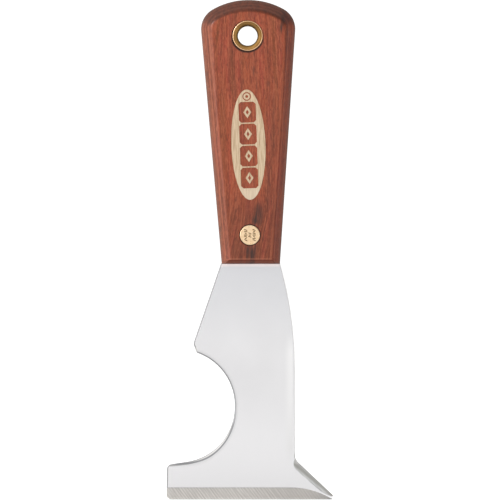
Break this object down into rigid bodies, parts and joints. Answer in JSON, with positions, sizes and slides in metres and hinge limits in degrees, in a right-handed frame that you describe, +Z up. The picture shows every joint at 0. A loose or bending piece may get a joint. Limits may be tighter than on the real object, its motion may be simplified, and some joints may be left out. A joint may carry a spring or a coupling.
{
  "type": "painters multi tool",
  "caption": "Flat steel scraper with a chisel edge, roller notch and pointed corner, riveted between bevelled rosewood handle scales.",
  "frame": {"origin": "centre of the hang hole, in the middle of the tang's thickness", "axes": "+Z up the handle from the scraping edge to the butt, -Y out of the blade's ground front face, +X from the roller notch to the pointed corner"},
  "size_m": [0.0635, 0.018, 0.1903],
  "materials": {
    "steel": "polished, ground bevels",
    "rosewood": "lacquered",
    "brass": "polished",
    "gold_foil": "satin foil"
  },
  "bodies": {
    "root": {"blade": "steel", "front_scale": "rosewood", "rear_scale": "rosewood", "eyelet": "brass", "eyelet_washer": "brass", "rivet_socket": "brass", "rivet_pin": "brass", "foil_mark": "gold_foil"}
  },
  "joints": []
}
